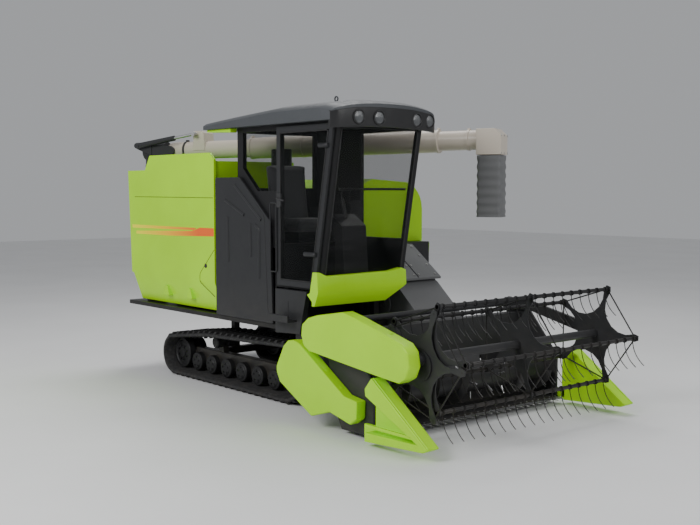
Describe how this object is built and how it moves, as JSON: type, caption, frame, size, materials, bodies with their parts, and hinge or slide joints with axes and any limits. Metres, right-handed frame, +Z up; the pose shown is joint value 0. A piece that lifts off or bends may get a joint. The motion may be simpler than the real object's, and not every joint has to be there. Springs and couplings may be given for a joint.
{
  "type": "tracked combine harvester",
  "caption": "Compact grain harvester on two rubber tracks, with a reel header, an enclosed cab, a grain tank and a swinging unloading pipe.",
  "frame": {"origin": "on the ground under the middle of the whole machine, with the header down", "axes": "+X forward towards the header, +Y to the operator's left, +Z up"},
  "size_m": [5.2173, 2.5, 2.77],
  "materials": {
    "black_paint": "satin black paint",
    "track_rubber": "matt black rubber",
    "cast_iron": "rough dark casting",
    "dark_grey_paint": "satin dark grey paint",
    "lime_paint": "glossy lime green paint",
    "light_grey_paint": "satin light grey paint",
    "beige_paint": "satin beige paint",
    "chute_plastic": "matt grey flexible plastic",
    "roof_plastic": "matt grey moulded plastic",
    "cab_glass": "tinted safety glass",
    "seat_cloth": "black woven cloth",
    "bare_steel": "bare ground steel"
  },
  "bodies": {
    "chassis": {"chassis_frame": "black_paint", "track_right": "track_rubber", "track_left": "track_rubber", "rollers_right": "black_paint", "rollers_left": "black_paint", "drive_gearbox": "cast_iron", "grain_tank": "lime_paint", "tank_side_panel": "lime_paint", "elevator_post": "dark_grey_paint", "engine_bay": "black_paint", "engine_block": "cast_iron", "air_cleaner": "black_paint", "cab_frame": "black_paint", "windshield": "cab_glass", "right_rear_window": "cab_glass", "left_window": "cab_glass", "rear_window": "cab_glass", "cab_roof": "roof_plastic", "seat_base": "black_paint", "seat_cushion": "seat_cloth", "seat_back": "seat_cloth", "front_console": "black_paint", "side_console": "black_paint", "front_bumper": "lime_paint", "cab_steps": "dark_grey_paint", "threshing_body": "dark_grey_paint", "threshing_hood": "lime_paint", "left_side_cover": "lime_paint", "straw_hood": "dark_grey_paint", "feeder_cover": "light_grey_paint"},
    "cab_door": {"cab_door": "dark_grey_paint", "door_glass": "cab_glass"},
    "engine_door": {"engine_side_panel": "dark_grey_paint"},
    "pipe_slew": {"pipe_elbow": "dark_grey_paint"},
    "pipe_lift": {"unloading_pipe": "beige_paint", "pipe_spout": "beige_paint", "pipe_chute": "chute_plastic"},
    "pipe_barrel": {"pipe_cylinder_barrel": "dark_grey_paint"},
    "pipe_rod": {"pipe_cylinder_rod": "bare_steel"},
    "header": {"feeder_house": "light_grey_paint", "header_frame": "dark_grey_paint", "cutter_bar": "bare_steel", "right_divider": "lime_paint", "left_divider": "lime_paint", "lower_drive_cover": "lime_paint"},
    "auger": {"header_auger": "dark_grey_paint"},
    "reel_arms": {"reel_arms": "dark_grey_paint", "upper_drive_cover": "lime_paint"},
    "reel": {"reel": "dark_grey_paint"},
    "cam_star": {"reel_cam_star": "dark_grey_paint"},
    "lift_barrel": {"lift_cylinder_barrel": "dark_grey_paint"},
    "lift_rod": {"lift_cylinder_rod": "bare_steel"},
    "reel_barrel": {"reel_cylinder_barrel": "dark_grey_paint"},
    "reel_rod": {"reel_cylinder_rod": "bare_steel"},
    "bat_1": {"reel_bat_1": "dark_grey_paint"},
    "bat_2": {"reel_bat_2": "dark_grey_paint"},
    "bat_3": {"reel_bat_3": "dark_grey_paint"},
    "bat_4": {"reel_bat_4": "dark_grey_paint"},
    "bat_5": {"reel_bat_5": "dark_grey_paint"}
  },
  "joints": [
    {"name": "cab_door_hinge", "type": "hinge", "parent": "chassis", "child": "cab_door", "pos_m": [0.81446, -0.952, 1.8], "axis": [0.1779, 0, 0.9841], "range_deg": [0, 85]},
    {"name": "engine_door_hinge", "type": "hinge", "parent": "chassis", "child": "engine_door", "pos_m": [-0.839, -0.952, 1.4], "axis": [0, 0, -1], "range_deg": [0, 90]},
    {"name": "pipe_slew", "type": "hinge", "parent": "chassis", "child": "pipe_slew", "pos_m": [-2.389, -0.706, 2.2], "axis": [0, 0, 1], "range_deg": [0, 215]},
    {"name": "pipe_lift", "type": "hinge", "parent": "pipe_slew", "child": "pipe_lift", "pos_m": [-2.16566, -0.59367, 2.34903], "axis": [0.4493, -0.8934, 0], "range_deg": [0, 40]},
    {"name": "pipe_barrel_swing", "type": "hinge", "parent": "pipe_slew", "child": "pipe_barrel", "pos_m": [-2.43774, -0.89842, 2.405], "axis": [0.4493, -0.8934, 0], "range_deg": [0, 19.71]},
    {"name": "pipe_rod_slide", "type": "slide", "parent": "pipe_barrel", "child": "pipe_rod", "axis": [0.8825, 0.4439, 0.1552], "range_m": [-0.1123, 0]},
    {"name": "header_lift", "type": "hinge", "parent": "chassis", "child": "header", "pos_m": [0.441, 0, 0.88], "axis": [0, -1, 0], "range_deg": [0, 25]},
    {"name": "lift_barrel_swing", "type": "hinge", "parent": "chassis", "child": "lift_barrel", "pos_m": [0.181, 0.184, 0.58], "axis": [0, -1, 0], "range_deg": [0, 19.31]},
    {"name": "lift_rod_slide", "type": "slide", "parent": "lift_barrel", "child": "lift_rod", "axis": [0.9596, 0, -0.2815], "range_m": [0, 0.14775]},
    {"name": "auger_spin", "type": "hinge", "parent": "header", "child": "auger", "pos_m": [1.421, 0, 0.3], "axis": [0, 1, 0], "continuous": true},
    {"name": "reel_lift", "type": "hinge", "parent": "header", "child": "reel_arms", "pos_m": [1.051, 0, 0.87], "axis": [0, -1, 0], "range_deg": [0, 20]},
    {"name": "reel_barrel_swing", "type": "hinge", "parent": "header", "child": "reel_barrel", "pos_m": [1.261, -1.02, 0.52], "axis": [0, -1, 0], "range_deg": [0, 6.05]},
    {"name": "reel_rod_slide", "type": "slide", "parent": "reel_barrel", "child": "reel_rod", "axis": [0.3939, 0, 0.9191], "range_m": [0, 0.1135]},
    {"name": "reel_spin", "type": "hinge", "parent": "reel_arms", "child": "reel", "pos_m": [2.081, 0, 0.7], "axis": [0, 1, 0], "continuous": true},
    {"name": "cam_star_spin", "type": "hinge", "parent": "reel_arms", "child": "cam_star", "pos_m": [2.066, 0, 0.648], "axis": [0, 1, 0], "continuous": true},
    {"name": "bat_1_turn", "type": "hinge", "parent": "reel", "child": "bat_1", "pos_m": [2.491, 0, 0.7], "axis": [0, 1, 0], "continuous": true},
    {"name": "bat_2_turn", "type": "hinge", "parent": "reel", "child": "bat_2", "pos_m": [2.2077, 0, 1.08993], "axis": [0, 1, 0], "continuous": true},
    {"name": "bat_3_turn", "type": "hinge", "parent": "reel", "child": "bat_3", "pos_m": [1.7493, 0, 0.94099], "axis": [0, 1, 0], "continuous": true},
    {"name": "bat_4_turn", "type": "hinge", "parent": "reel", "child": "bat_4", "pos_m": [1.7493, 0, 0.45901], "axis": [0, 1, 0], "continuous": true},
    {"name": "bat_5_turn", "type": "hinge", "parent": "reel", "child": "bat_5", "pos_m": [2.2077, 0, 0.31007], "axis": [0, 1, 0], "continuous": true}
  ],
  "couplings": [
    {"joint": "pipe_barrel_swing", "follows": "pipe_lift", "ratio": 0.48028},
    {"joint": "pipe_rod_slide", "follows": "pipe_lift", "m_per_rad": -0.15942},
    {"joint": "lift_barrel_swing", "follows": "header_lift", "ratio": 0.75229},
    {"joint": "lift_rod_slide", "follows": "header_lift", "m_per_rad": 0.33633},
    {"joint": "reel_barrel_swing", "follows": "reel_lift", "ratio": 0.27755},
    {"joint": "reel_rod_slide", "follows": "reel_lift", "m_per_rad": 0.32229},
    {"joint": "cam_star_spin", "follows": "reel_spin", "ratio": 1},
    {"joint": "bat_1_turn", "follows": "reel_spin", "ratio": -1},
    {"joint": "bat_2_turn", "follows": "reel_spin", "ratio": -1},
    {"joint": "bat_3_turn", "follows": "reel_spin", "ratio": -1},
    {"joint": "bat_4_turn", "follows": "reel_spin", "ratio": -1},
    {"joint": "bat_5_turn", "follows": "reel_spin", "ratio": -1}
  ]
}
